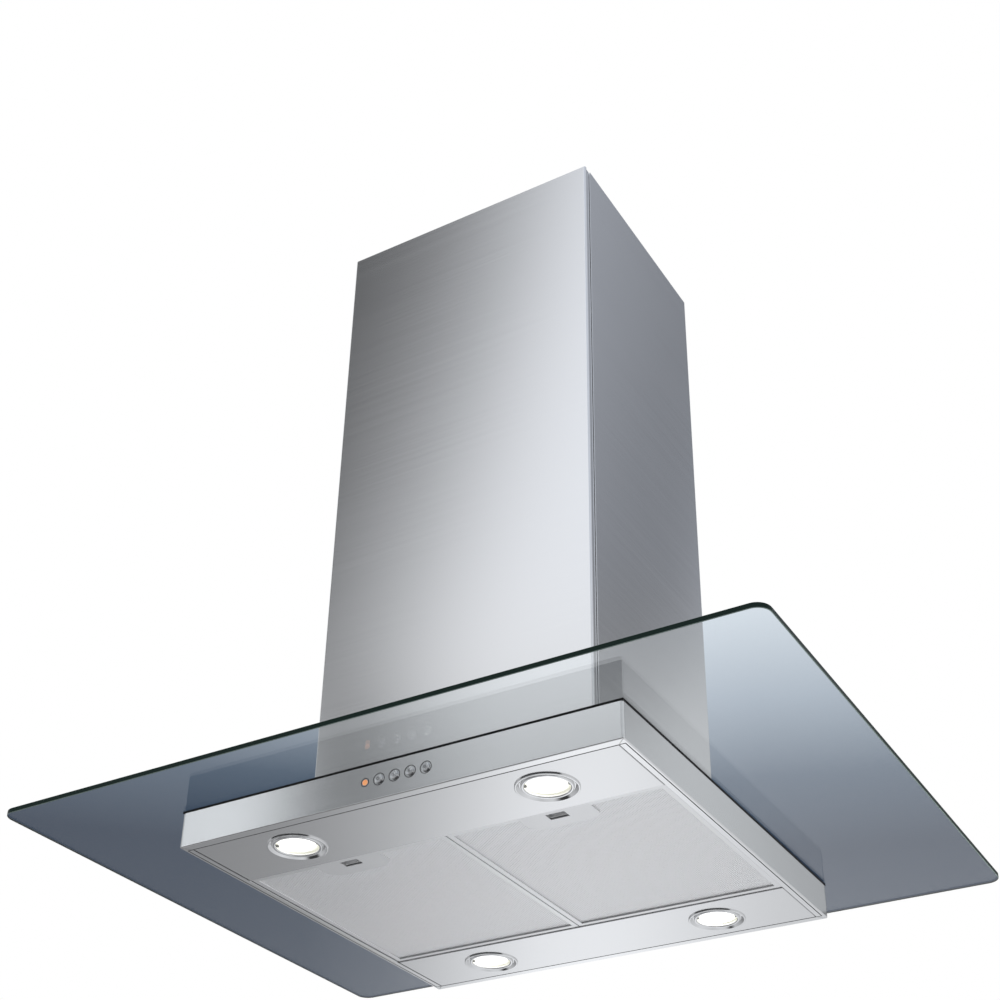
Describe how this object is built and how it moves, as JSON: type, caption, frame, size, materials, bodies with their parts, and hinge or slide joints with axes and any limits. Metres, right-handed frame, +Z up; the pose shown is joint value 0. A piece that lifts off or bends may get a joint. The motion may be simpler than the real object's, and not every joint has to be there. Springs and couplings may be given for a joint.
{
  "type": "island range hood",
  "caption": "Ceiling-hung island range hood: glass canopy, flat lit body with swing-down grease filters, and a telescoping chimney that houses the blower.",
  "frame": {"origin": "centre of the ceiling plate's top face, on the ceiling", "axes": "+Z up into the ceiling; -Y is the side with the push buttons; +X to the right along that side"},
  "size_m": [0.9, 0.7, 0.9035],
  "materials": {
    "brushed_stainless": "fine brushed, satin",
    "galvanised_steel": "galvanised sheet, matt spangle",
    "zinc_fastener": "bright zinc plated",
    "black_rubber": "matt",
    "canopy_glass": "clear tempered, ground edges",
    "polished_trim": "polished",
    "lamp_glass": "frosted, lit",
    "bulb_glass": "faceted reflector",
    "black_plastic": "moulded",
    "circuit_board": "solder resist",
    "indicator_amber": "translucent",
    "motor_steel": "phosphated",
    "button_metal": "spun satin",
    "filter_aluminium": "anodised satin",
    "filter_mesh": "expanded mesh"
  },
  "bodies": {
    "ceiling_frame": {"ceiling_plate": "galvanised_steel", "upper_uprights": "galvanised_steel", "frame_bolts": "zinc_fastener", "upper_cover_front": "brushed_stainless", "upper_cover_rear": "brushed_stainless", "upper_cover_screws": "zinc_fastener"},
    "hood": {"lower_uprights": "galvanised_steel", "height_bolts": "zinc_fastener", "frame_base": "galvanised_steel", "cover_clips": "zinc_fastener", "clamp_bolts": "zinc_fastener", "lower_cover_front": "brushed_stainless", "lower_cover_rear": "brushed_stainless", "chimney_gasket": "black_rubber", "glass_canopy": "canopy_glass", "glass_bushes": "black_rubber", "canopy_gasket": "black_rubber", "body_shell": "brushed_stainless", "body_top_plate": "galvanised_steel", "lamp_panel_front": "brushed_stainless", "lamp_panel_rear": "brushed_stainless", "lamp_panel_screws": "zinc_fastener", "lamp_bezel_front_left": "polished_trim", "lamp_bezel_front_right": "polished_trim", "lamp_bezel_rear_left": "polished_trim", "lamp_bezel_rear_right": "polished_trim", "lamp_lens_front_left": "lamp_glass", "lamp_lens_front_right": "lamp_glass", "lamp_lens_rear_left": "lamp_glass", "lamp_lens_rear_right": "lamp_glass", "lamp_bulbs": "bulb_glass", "control_housing": "black_plastic", "control_board": "circuit_board", "indicator_lens": "indicator_amber", "air_box": "galvanised_steel", "air_box_screws": "zinc_fastener", "scroll_left": "black_plastic", "scroll_right": "black_plastic", "motor": "motor_steel", "motor_bracket": "galvanised_steel", "motor_bushes": "black_rubber", "outlet_adapter": "black_plastic", "terminal_box": "black_plastic", "cable_gland": "black_plastic"},
    "blower_wheel": {"impeller": "black_plastic", "motor_shaft": "motor_steel"},
    "damper_front": {"damper_front": "black_plastic"},
    "damper_rear": {"damper_rear": "black_plastic"},
    "button_light": {"button_light": "button_metal"},
    "button_speed_low": {"button_speed_low": "button_metal"},
    "button_speed_high": {"button_speed_high": "button_metal"},
    "button_boost": {"button_boost": "button_metal"},
    "filter_left": {"filter_frame_left": "filter_aluminium", "filter_mesh_left": "filter_mesh", "latch_housing_left": "filter_aluminium"},
    "filter_right": {"filter_frame_right": "filter_aluminium", "filter_mesh_right": "filter_mesh", "latch_housing_right": "filter_aluminium"},
    "latch_left": {"filter_latch_left": "filter_aluminium"},
    "latch_right": {"filter_latch_right": "filter_aluminium"}
  },
  "joints": [
    {"name": "height_slide", "type": "slide", "parent": "ceiling_frame", "child": "hood", "axis": [0, 0, -1], "range_m": [0, 0.25]},
    {"name": "impeller_spin", "type": "hinge", "parent": "hood", "child": "blower_wheel", "pos_m": [0, 0, -0.7373], "axis": [1, 0, 0], "continuous": true},
    {"name": "damper_front_swing", "type": "hinge", "parent": "hood", "child": "damper_front", "pos_m": [0, -0.004, -0.5595], "axis": [-1, 0, 0], "range_deg": [0, 80]},
    {"name": "damper_rear_swing", "type": "hinge", "parent": "hood", "child": "damper_rear", "pos_m": [0, 0.004, -0.5595], "axis": [1, 0, 0], "range_deg": [0, 80]},
    {"name": "button_light_press", "type": "slide", "parent": "hood", "child": "button_light", "axis": [0, 1, 0], "range_m": [0, 0.0012], "stiffness_N_per_m": 600, "springref_m": -0.001},
    {"name": "button_speed_low_press", "type": "slide", "parent": "hood", "child": "button_speed_low", "axis": [0, 1, 0], "range_m": [0, 0.0012], "stiffness_N_per_m": 600, "springref_m": -0.001},
    {"name": "button_speed_high_press", "type": "slide", "parent": "hood", "child": "button_speed_high", "axis": [0, 1, 0], "range_m": [0, 0.0012], "stiffness_N_per_m": 600, "springref_m": -0.001},
    {"name": "button_boost_press", "type": "slide", "parent": "hood", "child": "button_boost", "axis": [0, 1, 0], "range_m": [0, 0.0012], "stiffness_N_per_m": 600, "springref_m": -0.001},
    {"name": "filter_left_swing", "type": "hinge", "parent": "hood", "child": "filter_left", "pos_m": [-0.12825, 0.149, -0.901], "axis": [1, 0, 0], "range_deg": [0, 75]},
    {"name": "latch_left_pull", "type": "slide", "parent": "filter_left", "child": "latch_left", "axis": [0, 1, 0], "range_m": [0, 0.004], "stiffness_N_per_m": 300, "springref_m": -0.004},
    {"name": "filter_right_swing", "type": "hinge", "parent": "hood", "child": "filter_right", "pos_m": [0.12825, 0.149, -0.901], "axis": [1, 0, 0], "range_deg": [0, 75]},
    {"name": "latch_right_pull", "type": "slide", "parent": "filter_right", "child": "latch_right", "axis": [0, 1, 0], "range_m": [0, 0.004], "stiffness_N_per_m": 300, "springref_m": -0.004}
  ]
}
